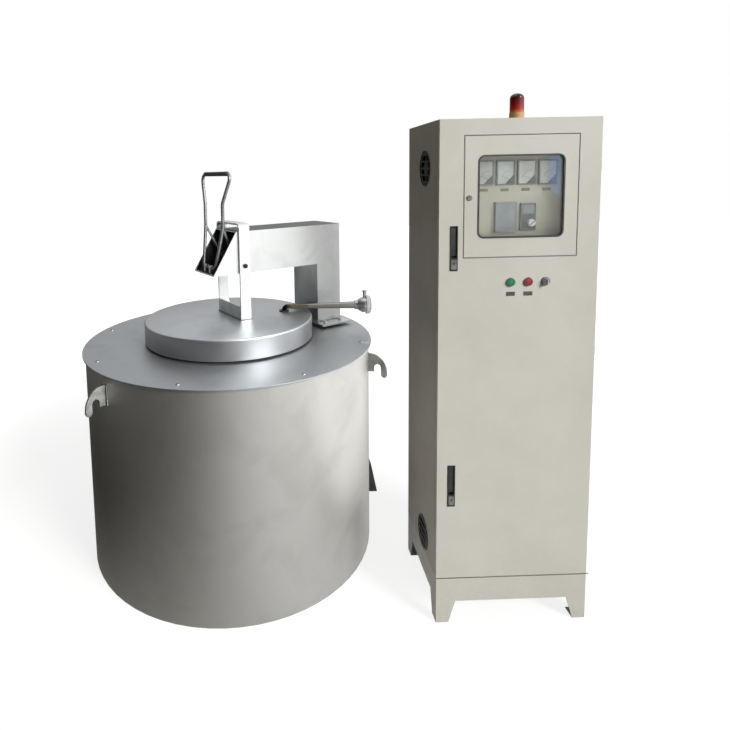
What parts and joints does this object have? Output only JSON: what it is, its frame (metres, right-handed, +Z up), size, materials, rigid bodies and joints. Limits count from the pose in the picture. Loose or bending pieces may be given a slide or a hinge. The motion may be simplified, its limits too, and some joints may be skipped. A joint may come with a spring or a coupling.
{
  "type": "induction melting furnace",
  "caption": "Round crucible furnace with a swing-away lid on a box arm, lifted by a rod handle, beside its upright power cabinet with a glazed meter window and a beacon on top.",
  "frame": {"origin": "centre of the furnace's round base, on the floor", "axes": "+X to the right towards the cabinet, parallel to its front; +Y to the back; +Z up"},
  "size_m": [1.9568, 1.3364, 1.906],
  "materials": {
    "shell_steel": "satin",
    "base_steel": "matte",
    "plate_steel": "satin",
    "refractory": "matte",
    "gasket_fibre": "matte",
    "crucible_graphite": "matte",
    "jacket_fibre": "matte",
    "coil_copper": "satin",
    "hook_steel": "satin",
    "hood_steel": "satin",
    "post_steel": "satin",
    "arm_steel": "satin",
    "bush_bronze": "satin",
    "lid_steel": "satin",
    "lid_fibre": "matte",
    "stirrup_steel": "satin",
    "pin_steel": "satin",
    "probe_steel": "satin",
    "probe_head_metal": "satin",
    "handle_steel": "polished",
    "grip_rubber": "matte",
    "cabinet_paint": "textured paint",
    "grille_plastic": "matte",
    "zinc_sheet": "zinc plated",
    "heat_sink": "anodised",
    "capacitor_case": "matte",
    "switchgear_case": "matte",
    "beacon_cream": "satin",
    "beacon_red": "gloss",
    "meter_face": "gloss",
    "display_case": "matte",
    "controller_case": "matte",
    "chrome_ring": "polished",
    "lock_metal": "satin",
    "start_green": "gloss",
    "stop_red": "gloss",
    "selector_black": "matte",
    "knob_pale": "satin",
    "seal_rubber": "matte",
    "window_glass": "clear"
  },
  "bodies": {
    "base": {"furnace_shell": "shell_steel", "base_plate": "base_steel", "top_plate": "plate_steel", "throat_ring": "refractory", "lid_gasket": "gasket_fibre", "crucible": "crucible_graphite", "crucible_stand": "refractory", "insulation_jacket": "jacket_fibre", "induction_coil": "coil_copper", "lifting_hook_a": "hook_steel", "lifting_hook_b": "hook_steel", "lifting_hook_c": "hook_steel", "cable_hood": "hood_steel", "swivel_post": "post_steel", "cabinet_body": "cabinet_paint", "cabinet_plinth": "cabinet_paint", "vent_grille_upper": "grille_plastic", "vent_grille_lower": "grille_plastic", "fan_frame": "grille_plastic", "mounting_plate": "zinc_sheet", "inverter_module": "heat_sink", "capacitor_bank": "capacitor_case", "switchgear_row": "switchgear_case", "beacon_base": "beacon_cream", "beacon_lens": "beacon_red"},
    "arm": {"arm_housing": "arm_steel", "arm_foot_plate": "arm_steel", "bearing_tube": "post_steel", "swivel_bush": "bush_bronze"},
    "lid": {"lid_pan": "lid_steel", "lid_insulation": "lid_fibre", "lid_stirrup": "stirrup_steel", "cross_pin": "pin_steel", "probe_gland": "probe_head_metal", "probe_tube": "probe_steel", "probe_head": "probe_head_metal"},
    "handle": {"lift_handle": "handle_steel", "handle_grip": "grip_rubber"},
    "fan": {"fan_rotor": "grille_plastic"},
    "door": {"main_door": "cabinet_paint", "instrument_tray": "cabinet_paint", "panel_meter_a": "meter_face", "panel_meter_b": "meter_face", "panel_meter_c": "meter_face", "panel_meter_d": "meter_face", "display_module": "display_case", "controller_module": "controller_case", "button_station": "chrome_ring", "lock_dish_upper": "lock_metal", "lock_dish_lower": "lock_metal"},
    "window": {"window_door": "cabinet_paint", "window_seal": "seal_rubber", "window_glass": "window_glass"},
    "upper_lock": {"lock_handle_upper": "lock_metal"},
    "lower_lock": {"lock_handle_lower": "lock_metal"},
    "keylock": {"window_keylock": "chrome_ring"},
    "start": {"start_button": "start_green"},
    "stop": {"stop_button": "stop_red"},
    "selector": {"selector_switch": "selector_black"},
    "knob": {"controller_knob": "knob_pale"}
  },
  "joints": [
    {"name": "arm_swing", "type": "hinge", "parent": "base", "child": "arm", "pos_m": [0.42191, 0.25406, 0.9], "axis": [0, 0, 1], "range_deg": [-100, 0]},
    {"name": "lid_lift", "type": "slide", "parent": "arm", "child": "lid", "axis": [0, 0, 1], "range_m": [0, 0.036]},
    {"name": "handle_tip", "type": "hinge", "parent": "arm", "child": "handle", "pos_m": [-0.07624, -0.04591, 1.225], "axis": [0.5158, -0.8567, 0], "range_deg": [0, 17]},
    {"name": "fan_turn", "type": "hinge", "parent": "base", "child": "fan", "pos_m": [0.7635, -0.4616, 1.64], "axis": [1, 0, 0], "continuous": true},
    {"name": "door_swing", "type": "hinge", "parent": "base", "child": "door", "pos_m": [1.3138, -0.6081, 0.985], "axis": [0, 0, 1], "range_deg": [0, 115]},
    {"name": "window_swing", "type": "hinge", "parent": "door", "child": "window", "pos_m": [1.2255, -0.6276, 1.54], "axis": [0, 0, 1], "range_deg": [0, 110]},
    {"name": "lock_flip_upper", "type": "hinge", "parent": "door", "child": "upper_lock", "pos_m": [0.8145, -0.6251, 1.435], "axis": [-1, 0, 0], "range_deg": [0, 35]},
    {"name": "lock_flip_lower", "type": "hinge", "parent": "door", "child": "lower_lock", "pos_m": [0.8145, -0.6251, 0.589], "axis": [-1, 0, 0], "range_deg": [0, 35]},
    {"name": "keylock_turn", "type": "hinge", "parent": "window", "child": "keylock", "pos_m": [0.8655, -0.6316, 1.538], "axis": [0, 1, 0], "range_deg": [0, 90]},
    {"name": "start_press", "type": "slide", "parent": "door", "child": "start", "axis": [0, 1, 0], "range_m": [0, 0.004], "stiffness_N_per_m": 400, "springref_m": -0.002},
    {"name": "stop_press", "type": "slide", "parent": "door", "child": "stop", "axis": [0, 1, 0], "range_m": [0, 0.004], "stiffness_N_per_m": 400, "springref_m": -0.002},
    {"name": "selector_turn", "type": "hinge", "parent": "door", "child": "selector", "pos_m": [1.1305, -0.6316, 1.249], "axis": [0, 1, 0], "range_deg": [-45, 45]},
    {"name": "knob_turn", "type": "hinge", "parent": "door", "child": "knob", "pos_m": [1.098, -0.5716, 1.446], "axis": [0, 1, 0], "range_deg": [-150, 150]}
  ],
  "couplings": [
    {"joint": "handle_tip", "follows": "lid_lift", "rad_per_m": 8.2}
  ]
}
